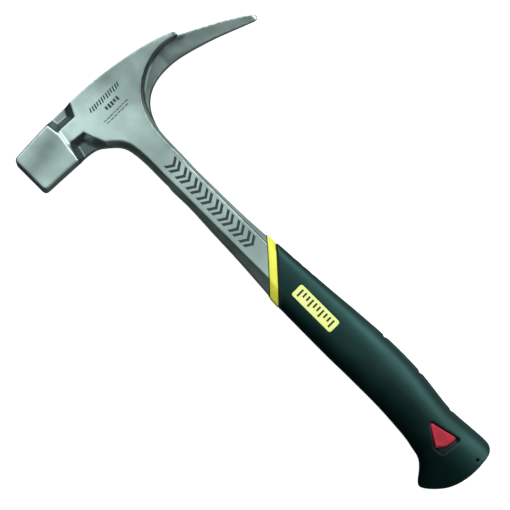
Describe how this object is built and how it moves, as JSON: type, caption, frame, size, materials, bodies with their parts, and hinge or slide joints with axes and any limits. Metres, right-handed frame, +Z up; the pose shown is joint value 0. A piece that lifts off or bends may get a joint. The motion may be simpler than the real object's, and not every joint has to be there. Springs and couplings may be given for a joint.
{
  "type": "claw hammer",
  "caption": "Forged roofing claw hammer with a square striking block, side nail puller, long curved pick and soft flared grip, lying on its side.",
  "frame": {"origin": "middle of the underside of the whole hammer, lying on its side on a surface", "axes": "+X along the handle towards the crown of the head, +Y towards the striking face, +Z up out of the cheek"},
  "size_m": [0.34, 0.1726, 0.026],
  "materials": {
    "forged_steel": "satin polished forging",
    "magnet": "nickel plated",
    "collar_yellow": "smooth moulded",
    "grip_rubber": "fine matte moulded texture",
    "grip_core": "glass filled nylon",
    "damper_red": "satin moulded",
    "badge_yellow": "smooth, with sunk black ruler marks"
  },
  "bodies": {
    "root": {"forged_head_and_shank": "forged_steel", "nail_magnet": "magnet", "collar_ring": "collar_yellow", "grip_sleeve": "grip_rubber", "grip_core_left": "grip_core", "grip_core_right": "grip_core", "fork_damper": "damper_red", "badge_left": "badge_yellow", "badge_right": "badge_yellow"}
  },
  "joints": []
}
